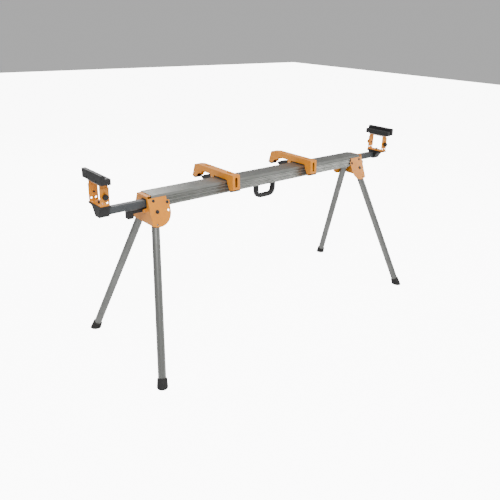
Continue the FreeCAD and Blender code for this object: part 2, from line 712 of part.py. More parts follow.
def knob(label, near, turned):
    """Make one scalloped clamping knob with its screw; near is 1 at the back before the half turn."""
    face = "(yoke_half + 0.3)"
    start = face if near > 0 else f"-{face} - knob_length"
    grip = rod("knob_radius", "knob_length", ("support_reach", start, "knob_height"), "y")
    scallops = [rod("knob_scallop", "knob_length + 2",
                    (f"support_reach + (knob_radius + 1) * cos({turn})", f"{start} - 1",
                     f"knob_height + (knob_radius + 1) * sin({turn})"), "y") for turn in range(0, 360, 60)]
    length = f"({face} - (yoke_half - 4 * plate_thick))"
    screw_start = "yoke_half - 4 * plate_thick" if near > 0 else f"-{face}"
    screw = rod("knob_screw_radius", length, ("support_reach", screw_start, "knob_height"), "y")
    node(label, [trimmed(grip, scallops), screw], turned=turned)


def lock_levers():
    """Make the lever that locks each extension tube."""
    for end, turned in ENDS:
        hub = rod("lock_hub", "lock_width", ("lock_reach", "channel_place - lock_width / 2", "lock_height"),
                  "y")
        arm = extrusion(rectangle("lock_arm", "lock_arm_thick"), "lock_width", "xz",
                        ("lock_reach + lock_arm / 2", "channel_place",
                         "lock_height + lock_hub - lock_arm_thick / 2 - 1"))
        drop = "(lock_paddle_drop + lock_hub - 1)"
        paddle = extrusion(rectangle("lock_paddle", drop), "lock_width", "xz",
                           ("lock_reach + lock_arm - lock_paddle / 2", "channel_place",
                            f"lock_height + lock_hub - 1 - {drop} / 2"), "rest_corner")
        hole = rod("pin_radius + running_gap", "2 * lock_width",
                   ("lock_reach", "channel_place - lock_width", "lock_height"), "y")
        node(f"{end}_lock_lever", [hub, arm, paddle], [hole], turned)


def bracket_outline():
    """Return the side outline of a saw bracket, from its front face back along the top and home below."""
    notch = "(rail_half + jaw_wall + 4)"
    return [("-bracket_front", "bracket_top"), ("bracket_back", "bracket_top"),
            ("bracket_tail - 19", "bracket_top - 6"), ("bracket_tail", "bracket_tail_height"),
            ("bracket_tail - 24", "bracket_tail_height - 7"), ("bracket_tail - 36", "bracket_tail_height"),
            ("bracket_tail - 46", "bracket_tail_height + 14"),
            ("bracket_tail - 72", "bracket_tail_height + 22"), ("bracket_tail - 90", "bracket_belly"),
            ("clamp_pivot_side + 1.7 * clamp_hub", "bracket_belly"),
            ("clamp_pivot_side + clamp_hub", "clamp_pivot_height - clamp_hub"),
            ("clamp_pivot_side - clamp_hub", "clamp_pivot_height - clamp_hub"),
            ("clamp_pivot_side - 1.7 * clamp_hub", "bracket_belly"), (f"-{notch} + 10", "bracket_belly"),
            (f"-{notch} + 2", "deck_height - rail_depth - 6"),
            ("-bracket_front + 22", "bracket_nose_height - 8"), ("-bracket_front - 4", "bracket_nose_height")]


def saw_brackets():
    """Make the two clamp-on saw brackets with their jaws, clamp levers, pins and plastic tips."""
    inner_width = "(bracket_width - 2 * plate_thick)"
    for end, side in (("left", -1), ("right", 1)):
        reach = f"{side} * bracket_reach"
        spot = (reach, 0, 0)
        shell = extrusion(bracket_outline(), "bracket_width", "yz", spot)
        hollow = extrusion(hollow_outline(), inner_width, "yz", spot)
        slots = [extrusion(rectangle("2 * saw_slot_radius", "saw_slot_length"), "4 * plate_thick", "xy",
                           (reach, f"-saw_slot_front + {step} * saw_slot_spacing", "bracket_top"),
                           "saw_slot_radius - 0.01") for step in (0, 1)]
        slots.append(extrusion(rectangle("face_slot_width", "face_slot_length"), "8 * plate_thick", "xz",
                               (reach, "-bracket_front", "(bracket_top + bracket_nose_height) / 2"),
                               "tube_corner"))
        pin_hole = rod("pin_radius + running_gap", "2 * bracket_width",
                       (f"{reach} - bracket_width", "clamp_pivot_side", "clamp_pivot_height"), "x")
        node(f"{end}_saw_bracket", [shell], [hollow, pin_hole] + slots)
        front_tip = [("-bracket_front - 5", "bracket_nose_height - 0.5"),
                     ("-bracket_front + 21", "bracket_nose_height - 8.5"),
                     ("-bracket_front + 19", "bracket_nose_height - 8 - tip_thick"),
                     ("-bracket_front - 7", "bracket_nose_height - tip_thick")]
        tail_tip = [("bracket_tail", "bracket_tail_height - 0.5"),
                    ("bracket_tail - 24", "bracket_tail_height - 7.5"),
                    ("bracket_tail - 22", "bracket_tail_height - 7 - tip_thick"),
                    ("bracket_tail + 3", "bracket_tail_height - tip_thick")]
        tips = [extrusion(tip, "bracket_width", "yz", spot) for tip in (front_tip, tail_tip)]
        node(f"{end}_bracket_tips", tips, apart=True)
        jaws(end, spot)
        pin = rod("pin_radius", "bracket_width + 4",
                  (f"{reach} - bracket_width / 2 - 2", "clamp_pivot_side", "clamp_pivot_height"), "x")
        node(f"{end}_clamp_pin", [pin])
        hub = rod("clamp_hub", "clamp_width", (f"{reach} - clamp_width / 2", "clamp_pivot_side",
                                               "clamp_pivot_height"), "x")
        far = "(clamp_pivot_side + clamp_reach)"
        arm = [("clamp_pivot_side - 4", "clamp_pivot_height + 8"), ("clamp_pivot_side + clamp_hub",
               "clamp_pivot_height + 8"), (f"{far} - 30", "clamp_pivot_height - 7"),
               (far, "clamp_pivot_height - 20"),
               (far, "clamp_pivot_height - 28"), (f"{far} - 15", "clamp_pivot_height - 36"),
               (f"{far} - 40", "clamp_pivot_height - 27"), ("clamp_pivot_side + 2 * clamp_hub",
               "clamp_pivot_height - 15"), ("clamp_pivot_side", "clamp_pivot_height - clamp_hub + 0.5")]
        bore = rod("pin_radius + running_gap", "2 * clamp_width",
                   (f"{reach} - clamp_width", "clamp_pivot_side", "clamp_pivot_height"), "x")
        node(f"{end}_clamp_lever", [hub, extrusion(arm, "clamp_width", "yz", spot)], [bore])


def hollow_outline():
    """Return the outline of the space inside a saw bracket, open below."""
    return [("-bracket_front + plate_thick", "bracket_top - plate_thick"),
            ("bracket_back - 1", "bracket_top - plate_thick"),
            ("bracket_tail - 22", "bracket_top - plate_thick - 6"),
            ("bracket_tail - 5", "bracket_tail_height + 6"), ("bracket_tail - 5", "bracket_tail_height - 40"),
            ("-bracket_front - 4 + 1.2 * plate_thick", "bracket_tail_height - 40"),
            ("-bracket_front - 4 + 1.2 * plate_thick", "bracket_nose_height")]


def jaws(end, spot):
    """Make the fixed front jaw and the sliding rear jaw that grip the rails from both sides."""
    face = "(rail_half + jaw_gap)"
    lip = "(rail_half - jaw_lip)"
    under = "(deck_height - rail_depth - jaw_gap - 0.2)"
    over = "(deck_height + jaw_gap)"
    back = f"({face} + jaw_wall)"
    hook = [(f"-{face}", over), (f"-{face}", under), (f"-{lip}", under), (f"-{lip}", f"{under} - 3.8"),
            (f"-{face} - 3", f"{under} - 6.4")]
    front = hook + [(f"-{back} - 3", f"{under} - 6.4"), (f"-{back} - 3", "bracket_top - plate_thick"),
                    (f"-{back} + 10", "bracket_top - plate_thick"), ("-rail_half / 2", f"{over} + 8"),
                    ("-rail_half / 2", over)]
    node(f"{end}_front_jaw", [extrusion(front, "jaw_width", "yz", spot)])
    rear = [(across.replace("-", "", 1), up) for across, up in hook[:4]]
    rear += [(f"{face} + 2", f"{under} - 6.4"), (back, f"{under} - 6.4"), (back, f"{over} + 8"),
             ("rail_half / 3", f"{over} + 8"), ("rail_half / 3", over)]
    node(f"{end}_rear_jaw", [extrusion(rear, "jaw_width", "yz", spot)])


def check_and_write():
    """Check every object and write each sub-part to a STEP file named after it."""
    doc.recompute()
    for item in doc.Objects:
        if "Invalid" in item.State or "Error" in item.State:
            raise RuntimeError(f"{item.Label} ({item.TypeId}) is {item.State}")
    for item in NODES:
        if item.Shape.isNull() or not item.Shape.isValid():
            raise RuntimeError(f"{item.Label} has a bad shape")
    os.makedirs("parts", exist_ok=True)
    for item in NODES:
        item.Shape.exportStep(f"parts/{item.Label}.step")


fill_sheet()
beam()
leg_brackets()
fasteners()
tube_guides()
carry_handle()
legs()
extensions()
work_supports()
lock_levers()
saw_brackets()
check_and_write()
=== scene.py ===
"""Looks of the folding saw stand: its finishes, its moulded and turned pieces, light and camera.

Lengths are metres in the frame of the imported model: the origin is on the floor below the middle
of the beam, +X runs along the beam to the right, +Y points to the back and +Z up.
"""

from __future__ import annotations

import json
import logging
import math
from dataclasses import dataclass, field
from enum import Enum

import bpy
import numpy as np
from mathutils import Matrix, Vector


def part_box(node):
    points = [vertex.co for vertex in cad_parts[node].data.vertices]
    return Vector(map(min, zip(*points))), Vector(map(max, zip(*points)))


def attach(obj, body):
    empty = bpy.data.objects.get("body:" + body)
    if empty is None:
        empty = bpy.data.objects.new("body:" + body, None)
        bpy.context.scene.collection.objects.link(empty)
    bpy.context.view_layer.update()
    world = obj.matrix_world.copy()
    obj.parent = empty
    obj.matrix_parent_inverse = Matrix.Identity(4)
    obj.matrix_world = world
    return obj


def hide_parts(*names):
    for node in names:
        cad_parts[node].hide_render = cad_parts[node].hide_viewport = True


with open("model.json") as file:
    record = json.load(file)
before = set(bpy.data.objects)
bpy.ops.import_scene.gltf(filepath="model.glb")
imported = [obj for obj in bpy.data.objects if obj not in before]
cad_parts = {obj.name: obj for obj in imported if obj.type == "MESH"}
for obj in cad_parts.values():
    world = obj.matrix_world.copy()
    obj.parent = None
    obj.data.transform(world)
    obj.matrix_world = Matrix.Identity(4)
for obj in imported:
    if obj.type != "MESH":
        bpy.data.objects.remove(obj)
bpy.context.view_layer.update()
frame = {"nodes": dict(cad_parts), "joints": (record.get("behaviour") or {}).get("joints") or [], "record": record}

LOG = logging.getLogger("saw_stand")
MM = 0.001


class Part(Enum):
    """The finishes that the stand's pieces are given."""

    YELLOW = "yellow_paint"
    BEAM = "extruded_aluminium"
    LEG = "leg_grey"
    CHARCOAL = "charcoal_paint"
    PLASTIC = "black_plastic"
    RUBBER = "foot_rubber"
    ZINC = "zinc_plate"
    BLACK_STEEL = "black_steel"


class Corner(Enum):
    """The four corners, each named as its leg is."""

    RIGHT_REAR = "right_rear"
    RIGHT_FRONT = "right_front"
    LEFT_REAR = "left_rear"
    LEFT_FRONT = "left_front"


# --- Shader building -------------------------------------------------------------------------


class Graph:
    """A node tree with short calls for adding nodes and joining them."""

    def __init__(self, tree: bpy.types.NodeTree) -> None:
        """Keep the tree that nodes go into.

        Args:
            tree: The material's or group's node tree.
        """
        self.tree = tree

    def add(self, kind: str, inputs: dict | None = None, **settings: object) -> bpy.types.Node:
        """Add one node, set it up and feed its inputs.

        Args:
            kind: The node's type name.
            inputs: Input name or number to a value or to another node's output socket.
            settings: Properties of the node.

        Returns:
            The new node.
        """
        node = self.tree.nodes.new(kind)
        for name, setting in settings.items():
            setattr(node, name, setting)
        for name, source in (inputs or {}).items():
            if isinstance(source, bpy.types.NodeSocket):
                self.tree.links.new(source, node.inputs[name])
            else:
                node.inputs[name].default_value = source
        return node

    def math(self, operation: str, first: object, second: object = 0.0) -> bpy.types.NodeSocket:
        """Return the output of one Math node.

        Args:
            operation: The node's operation.
            first: A number or socket.
            second: A number or socket.

        Returns:
            The result's socket.
        """
        return self.add("ShaderNodeMath", {0: first, 1: second}, operation=operation).outputs[0]

    def spread(self, source: bpy.types.NodeSocket, low: float, high: float) -> bpy.types.NodeSocket:
        """Return a mask that runs smoothly from 0 at low to 1 at high.

        Args:
            source: The socket to read.
            low: Where the mask is 0.
            high: Where the mask is 1.

        Returns:
            The mask's socket.
        """
        ramp = self.add("ShaderNodeMapRange", {"Value": source, "From Min": low, "From Max": high},
                        interpolation_type="SMOOTHSTEP")
        return ramp.outputs["Result"]

    def blend(self, mask: bpy.types.NodeSocket, first: object, second: object) -> bpy.types.NodeSocket:
        """Return a colour mixed from two by a mask.

        Args:
            mask: 0 gives the first colour and 1 the second.
            first: A colour or socket.
            second: A colour or socket.

        Returns:
            The colour's socket.
        """
        mix = self.add("ShaderNodeMix", data_type="RGBA")
        for index, source in ((0, mask), (6, first), (7, second)):
            if isinstance(source, bpy.types.NodeSocket):
                self.tree.links.new(source, mix.inputs[index])
            else:
                mix.inputs[index].default_value = source
        return mix.outputs[2]


def new_group(name: str, takes: dict[str, float | None], gives: dict[str, str]) -> tuple[Graph, dict, dict]:
    """Start a shader group with named sockets.

    Args:
        name: The group's name.
        takes: Input name to its default number, or None for a vector.
        gives: Output name to its socket type.

    Returns:
        The group's graph, its inputs by name and its output node's inputs by name.
    """
    tree = bpy.data.node_groups.new(name, "ShaderNodeTree")
    for title, number in takes.items():
        kind = "NodeSocketVector" if number is None else "NodeSocketFloat"
        socket = tree.interface.new_socket(name=title, in_out="INPUT", socket_type=kind)
        if number is not None:
            socket.default_value = number
    for title, kind in gives.items():
        tree.interface.new_socket(name=title, in_out="OUTPUT", socket_type=kind)
    graph = Graph(tree)
    source = graph.add("NodeGroupInput").outputs
    target = graph.add("NodeGroupOutput").inputs
    return graph, {title: source[title] for title in takes}, {title: target[title] for title in gives}


def grain_group() -> bpy.types.NodeTree:
    """Make the fine texture of a coat or moulding: small rounded bumps over slow waves.

    Returns:
        The group, which gives Height.
    """
    graph, takes, gives = new_group(
        "surface_grain", {"Vector": None, "Cell": 1500.0, "Wave": 60.0}, {"Height": "NodeSocketFloat"})
    fine = graph.add("ShaderNodeTexNoise", {"Vector": takes["Vector"], "Scale": takes["Cell"], "Detail": 2.0})
    slow = graph.add("ShaderNodeTexNoise", {"Vector": takes["Vector"], "Scale": takes["Wave"], "Detail": 3.0})
    height = graph.math("ADD", fine.outputs["Fac"], graph.math("MULTIPLY", slow.outputs["Fac"], 0.6))
    graph.tree.links.new(height, gives["Height"])
    return graph.tree


def drawn_group() -> bpy.types.NodeTree:
    """Make the long fine lines that a die leaves along an extruded or drawn bar.

    Returns:
        The group, which gives Lines.
    """
    graph, takes, gives = new_group(
        "drawn_lines", {"Vector": None, "Fineness": 900.0}, {"Lines": "NodeSocketFloat"})
    stretch = graph.add("ShaderNodeVectorMath", {0: takes["Vector"], 1: (0.004, 1.0, 1.0)},
                        operation="MULTIPLY")
    lines = graph.add("ShaderNodeTexNoise", {"Vector": stretch.outputs[0], "Scale": takes["Fineness"],
                                             "Detail": 4.0, "Roughness": 0.65})
    graph.tree.links.new(lines.outputs["Fac"], gives["Lines"])
    return graph.tree


def wear_group() -> bpy.types.NodeTree:
    """Make the masks of workshop use: broken scuffs, and slow patches of handling.

    Returns:
        The group, which gives Scuffs and Patches.
    """
    graph, takes, gives = new_group(
        "workshop_wear", {"Vector": None, "Amount": 0.5},
        {"Scuffs": "NodeSocketFloat", "Patches": "NodeSocketFloat"})
    patch = graph.add("ShaderNodeTexNoise", {"Vector": takes["Vector"], "Scale": 14.0, "Detail": 4.0})
    streak = graph.add("ShaderNodeVectorMath", {0: takes["Vector"], 1: (0.35, 1.0, 1.0)},
                       operation="MULTIPLY")
    scuff = graph.add("ShaderNodeTexNoise", {"Vector": streak.outputs[0], "Scale": 420.0, "Detail": 6.0,
                                             "Roughness": 0.7})
    broken = graph.math("MULTIPLY", graph.spread(scuff.outputs["Fac"], 0.62, 0.74),
                        graph.spread(patch.outputs["Fac"], 0.48, 0.7))
    graph.tree.links.new(graph.math("MULTIPLY", broken, takes["Amount"]), gives["Scuffs"])
    graph.tree.links.new(graph.spread(patch.outputs["Fac"], 0.3, 0.7), gives["Patches"])
    return graph.tree


def dust_group() -> bpy.types.NodeTree:
    """Make the mask of fine sawdust, thicker on faces that look up.

    Returns:
        The group, which gives Dust.
    """
    graph, takes, gives = new_group(
        "settled_dust", {"Vector": None, "Amount": 0.2}, {"Dust": "NodeSocketFloat"})
    normal = graph.add("ShaderNodeNewGeometry").outputs["True Normal"]
    upward = graph.add("ShaderNodeSeparateXYZ", {0: normal}).outputs["Z"]
    cloud = graph.add("ShaderNodeTexNoise", {"Vector": takes["Vector"], "Scale": 38.0, "Detail": 6.0,
                                             "Roughness": 0.75})
    fall = graph.math("MULTIPLY", graph.spread(upward, 0.35, 0.95),
                      graph.spread(cloud.outputs["Fac"], 0.35, 0.75))
    graph.tree.links.new(graph.math("MULTIPLY", fall, takes["Amount"]), gives["Dust"])
    return graph.tree


@dataclass(frozen=True)
class Finish:
    """One surface finish; colours are linear red, green and blue.

    Attributes:
        color: The clean surface.
        shade: The darker colour of handled patches.
        worn: What shows through a scuff.
        rough: Roughness of the clean surface.
        metal: Metallic value.
        cell: Fineness of the grain, in cycles to a metre.
        wave: Fineness of the slow waves.
        depth: Height of the grain in metres.
        lines: How strongly drawn lines show.
        wear: How much the scuffs show.
        dust: How much dust lies on it.
        coat: Clear coat weight.
    """

    color: tuple[float, float, float]
    shade: tuple[float, float, float]
    worn: tuple[float, float, float]
    rough: float
    metal: float = 0.0
    cell: float = 1500.0
    wave: float = 60.0
    depth: float = 0.00003
    lines: float = 0.0
    wear: float = 0.4
    dust: float = 0.12
    coat: float = 0.0

    def build(self, name: str, groups: dict[str, bpy.types.NodeTree]) -> bpy.types.Material:
        """Make the material.

        Args:
            name: The material's name.
            groups: The shared shader groups by name.

        Returns:
            The material.
        """
        material = bpy.data.materials.new(name)
        material.use_nodes = True
        graph = Graph(material.node_tree)
        shader = material.node_tree.nodes["Principled BSDF"]
        spot = graph.add("ShaderNodeTexCoord").outputs["Object"]
        grain = graph.add("ShaderNodeGroup", node_tree=groups["grain"])
        wear = graph.add("ShaderNodeGroup", node_tree=groups["wear"])
        dust = graph.add("ShaderNodeGroup", node_tree=groups["dust"])
        for node, title, amount in ((grain, "Cell", self.cell), (grain, "Wave", self.wave),
                                    (wear, "Amount", self.wear), (dust, "Amount", self.dust)):
            node.inputs[title].default_value = amount
        for node in (grain, wear, dust):
            material.node_tree.links.new(spot, node.inputs["Vector"])
        color = graph.blend(wear.outputs["Patches"], (*self.color, 1.0), (*self.shade, 1.0))
        height = grain.outputs["Height"]
        rough = graph.math("ADD", graph.math("MULTIPLY", wear.outputs["Patches"], 0.1), self.rough - 0.05)
        if self.lines:
            drawn = graph.add("ShaderNodeGroup", {"Vector": spot}, node_tree=groups["drawn"])
            lines = graph.spread(drawn.outputs["Lines"], 0.3, 0.7)
            dark = tuple(part * (1.0 - 0.45 * self.lines) for part in self.color)
            color = graph.blend(graph.math("MULTIPLY", lines, self.lines), color, (*dark, 1.0))
            height = graph.math("ADD", graph.math("MULTIPLY", height, 0.4),
                                graph.math("MULTIPLY", lines, self.lines))
            rough = graph.math("ADD", rough, graph.math("MULTIPLY", lines, 0.12 * self.lines))
        color = graph.blend(wear.outputs["Scuffs"], color, (*self.worn, 1.0))
        color = graph.blend(dust.outputs["Dust"], color, (0.5, 0.41, 0.29, 1.0))
        rough = graph.math("ADD", rough, graph.math("MULTIPLY", dust.outputs["Dust"], 0.4))
        bump = graph.add("ShaderNodeBump", {"Height": height, "Distance": self.depth, "Strength": 0.8})
        links = material.node_tree.links
        links.new(color, shader.inputs["Base Color"])
        links.new(graph.add("ShaderNodeClamp", {"Value": rough}).outputs[0], shader.inputs["Roughness"])
        links.new(bump.outputs["Normal"], shader.inputs["Normal"])
        shader.inputs["Metallic"].default_value = self.metal
        shader.inputs["Coat Weight"].default_value = self.coat
        return material


FINISHES = {
    Part.YELLOW: Finish((0.62, 0.215, 0.002), (0.56, 0.185, 0.002), (0.42, 0.28, 0.12), 0.45, cell=900.0,
                        wave=240.0, depth=0.00006, wear=0.35, dust=0.02, coat=0.05),
    Part.BEAM: Finish((0.22, 0.225, 0.21), (0.18, 0.185, 0.17), (0.36, 0.36, 0.34), 0.32, 0.8, lines=0.4,
                      depth=0.00004, wear=0.5, dust=0.03),
    Part.LEG: Finish((0.17, 0.174, 0.165), (0.14, 0.143, 0.135), (0.28, 0.28, 0.27), 0.38, 0.65, cell=1300.0,
                     depth=0.00003, wear=0.4, dust=0.02),
    Part.CHARCOAL: Finish((0.038, 0.044, 0.048), (0.030, 0.034, 0.037), (0.15, 0.15, 0.15), 0.5, cell=1100.0,
                          lines=0.25, depth=0.00004, wear=0.5, dust=0.02, coat=0.03),
    Part.PLASTIC: Finish((0.004, 0.004, 0.0045), (0.003, 0.003, 0.0033), (0.018, 0.018, 0.018), 0.58,
                         cell=2200.0, depth=0.00008, wear=0.35, dust=0.015),
    Part.RUBBER: Finish((0.005, 0.005, 0.005), (0.008, 0.008, 0.0075), (0.03, 0.028, 0.026), 0.78,
                        cell=1600.0, depth=0.00008, wear=0.6, dust=0.04),
    Part.ZINC: Finish((0.58, 0.58, 0.56), (0.48, 0.47, 0.43), (0.33, 0.30, 0.26), 0.3, 1.0, cell=1800.0,
                      depth=0.00002, wear=0.4, dust=0.05),
    Part.BLACK_STEEL: Finish((0.010, 0.010, 0.011), (0.008, 0.008, 0.0085), (0.12, 0.115, 0.11), 0.45,
                             cell=1000.0, depth=0.00005, wear=0.7, dust=0.03, coat=0.05),
}

# Ends of node names, looked through in order, and the finish of each
NODE_FINISH = (
    ("saw_bracket", Part.YELLOW), ("leg_bracket", Part.YELLOW), ("support_yoke", Part.YELLOW),
    ("height_slider", Part.YELLOW), ("extension_tube", Part.CHARCOAL), ("leg_tube", Part.LEG),
    ("foot", Part.RUBBER), ("top_plate", Part.ZINC), ("clamp_pin", Part.ZINC), ("snap_button", Part.ZINC),
    ("pivot_bolts", Part.BLACK_STEEL), ("screws", Part.BLACK_STEEL), ("jaw", Part.BLACK_STEEL),
    ("handle_bolts", Part.ZINC), ("nuts", Part.ZINC), ("lever_pins", Part.ZINC), ("beam", Part.BEAM),
)


@dataclass
class Workshop:
    """Holds the finished materials and gives each CAD node its own."""

    materials: dict[Part, bpy.types.Material] = field(default_factory=dict)

    def stock(self) -> None:
        """Make the shared groups and every material."""
        groups = {"grain": grain_group(), "drawn": drawn_group(), "wear": wear_group(), "dust": dust_group()}
        for part, finish in FINISHES.items():
            self.materials[part] = finish.build(part.value, groups)

    def dress(self, nodes: dict[str, bpy.types.Object]) -> None:
        """Put each CAD node's finish in its material slots.

        Args:
            nodes: The CAD objects by node name.
        """
        for name, item in nodes.items():
            part = next((part for ending, part in NODE_FINISH if name.endswith(ending)), Part.PLASTIC)
            if not item.material_slots:
                item.data.materials.append(self.materials[part])
            for place in item.material_slots:
                place.material = self.materials[part]
        LOG.info("dressed %d nodes", len(nodes))


# --- Surfaces --------------------------------------------------------------------------------


@dataclass
class Surface:
    """Gathers closed grids of points and turns them into one mesh object."""

    name: str
    points: list[np.ndarray] = field(default_factory=list)
    faces: list[list[int]] = field(default_factory=list)
    count: int = 0

    def skin(self, rows: np.ndarray) -> None:
        """Add a tube of rings: ring i joins ring i + 1 by quads, and a flat face closes each end.

        Args:
            rows: Points as rings by points round each ring by 3, anticlockwise seen from the last ring.
        """
        rings, around, _ = rows.shape
        index = np.arange(rings * around).reshape(rings, around) + self.count
        after = np.roll(index, -1, axis=1)
        quads = np.stack([index[:-1], after[:-1], after[1:], index[1:]], axis=-1).reshape(-1, 4)
        self.faces += quads.tolist() + [index[0, ::-1].tolist(), index[-1].tolist()]
        self.points.append(rows.reshape(-1, 3))
        self.count += rings * around

    def finish(self, material: bpy.types.Material, body: str, smooth: float = 35.0) -> bpy.types.Object:
        """Make the object, shade it and let it ride on a body.

        Args:
            material: Its finish.
            body: The body that it moves with.
            smooth: Edges flatter than this many degrees are shaded smooth.

        Returns:
            The finished object.
        """
        mesh = bpy.data.meshes.new(self.name)
        mesh.from_pydata(np.concatenate(self.points), [], self.faces)
        mesh.materials.append(material)
        mesh.shade_smooth()
        mesh.set_sharp_from_angle(angle=math.radians(smooth))
        piece = bpy.data.objects.new(self.name, mesh)
        bpy.context.scene.collection.objects.link(piece)
        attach(piece, body)
        LOG.info("made %s on %s", self.name, body)
        return piece


def cross_axes(axis: np.ndarray) -> tuple[np.ndarray, np.ndarray]:
    """Return two unit vectors square to an axis, so that first, second and axis are right-handed.

    Args:
        axis: A unit vector.

    Returns:
        The first and second vector.
    """
    helper = np.array([0.0, 0.0, 1.0]) if abs(axis[2]) < 0.9 else np.array([1.0, 0.0, 0.0])
    first = np.cross(helper, axis)
    first /= np.linalg.norm(first)
    return first, np.cross(axis, first)


def turned_rows(start: np.ndarray, axis: np.ndarray, profile: np.ndarray, around: int = 72) -> np.ndarray:
    """Return the rings of a turned shape with flats or lobes.

    A point is the start, plus the axis times its height, plus a radius in the direction of its
    angle. The radius is the profile's, times a hexagon's distance to its side in that direction
    where the hex share is 1, and less a cosine wave with the profile's lobe depth.

    Args:
        start: The point where the profile's height is 0.
        axis: The unit axis.
        profile: Rows of height, radius, hex share, lobe depth and lobe count.
        around: Points round each ring.

    Returns:
        Rings by points by 3.
    """
    angle = np.linspace(0.0, 2.0 * math.pi, around, endpoint=False)
    sixth = math.pi / 3.0
    hexagon = math.cos(sixth / 2.0) / np.cos(np.mod(angle, sixth) - sixth / 2.0)
    first, second = cross_axes(axis)
    spoke = np.cos(angle)[:, None] * first + np.sin(angle)[:, None] * second
    height, radius, share, lobe, lobes = (column[:, None] for column in profile.T)
    reach = radius * (1.0 + share * (hexagon - 1.0)) - lobe * 0.5 * (1.0 + np.cos(lobes * angle))
    return start + height[:, :, None] * axis + reach[:, :, None] * spoke


def node_centre(name: str) -> np.ndarray:
    """Return the middle of a CAD node's box.

    Args:
        name: The node's name.

    Returns:
        The middle point.
    """
    low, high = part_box(name)
    return (np.array(low) + np.array(high)) / 2.0


@dataclass
class Feet:
    """The ribbed rubber feet, flat where they stand."""

    sole_radius: float = 26.4 * MM
    rim_radius: float = 23.6 * MM
    bore: float = 19.1 * MM
    height: float = 42.0 * MM
    ribs: int = 5
    rib_depth: float = 0.7 * MM

    def make(self, material: bpy.types.Material) -> None:
        """Make one foot on each leg.

        Args:
            material: The rubber.
        """
        joints = {joint["name"]: joint for joint in frame["joints"]}
        mounts = {mount["name"]: mount for mount in frame["record"]["mounts"]}
        for corner in Corner:
            pivot = np.array(joints[f"{corner.value}_leg_fold"]["pos_m"])
            sole = np.array(mounts[f"{corner.value}_sole"]["pos_m"])
            self.one(corner, sole, (pivot - sole) / np.linalg.norm(pivot - sole), material)

    def one(self, corner: Corner, sole: np.ndarray, axis: np.ndarray, material: bpy.types.Material) -> None:
        """Make one foot.

        The wall runs from the floor to the rim. Each upright line of it starts where it meets the
        floor, and the ribs are a cosine wave along it. The rim is a quarter circle in to the tube.

        Args:
            corner: Which leg it is on.
            sole: Where the leg's axis meets the floor.
            axis: The unit vector up the leg.
            material: The rubber.
        """
        around = 72
        first, second = cross_axes(axis)
        angle = np.linspace(0.0, 2.0 * math.pi, around, endpoint=False)
        spoke = np.cos(angle)[:, None] * first + np.sin(angle)[:, None] * second
        share = np.concatenate([[0.0, 0.0, 0.03], np.linspace(0.06, 0.93, 40)])[:, None]
        wave = 0.5 - 0.5 * np.cos(2.0 * math.pi * self.ribs * np.clip((share - 0.3) / 0.63, 0.0, 1.0))
        radius = self.sole_radius + (self.rim_radius - self.sole_radius) * share - self.rib_depth * wave
        radius[0] -= 2.5 * MM
        radius[1] -= 0.8 * MM
        floor = -radius * spoke[:, 2][None, :] / axis[2]
        along = floor + share * (self.height - floor)
        wall = sole + along[..., None] * axis + radius[..., None] * spoke[None]
        turn = np.linspace(0.0, math.pi / 2.0, 7)
        lip = radius[-1, 0] - self.bore
        rim = np.stack([self.height - lip * 0.55 * (1.0 - np.sin(turn)),
                        self.bore + lip * np.cos(turn) ** 0.9, 0 * turn, 0 * turn, 0 * turn], axis=1)
        top = turned_rows(sole, axis, rim, around)
        throat = np.array([[self.height - 4.0 * MM, self.bore - 0.5 * MM, 0, 0, 0]])
        inner = turned_rows(sole, axis, throat, around)
        surface = Surface(f"{corner.value}_rubber_foot")
        surface.skin(np.concatenate([wall, top, inner]))
        piece = surface.finish(material, f"{corner.value}_leg", 50.0)
        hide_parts(f"{corner.value}_foot")


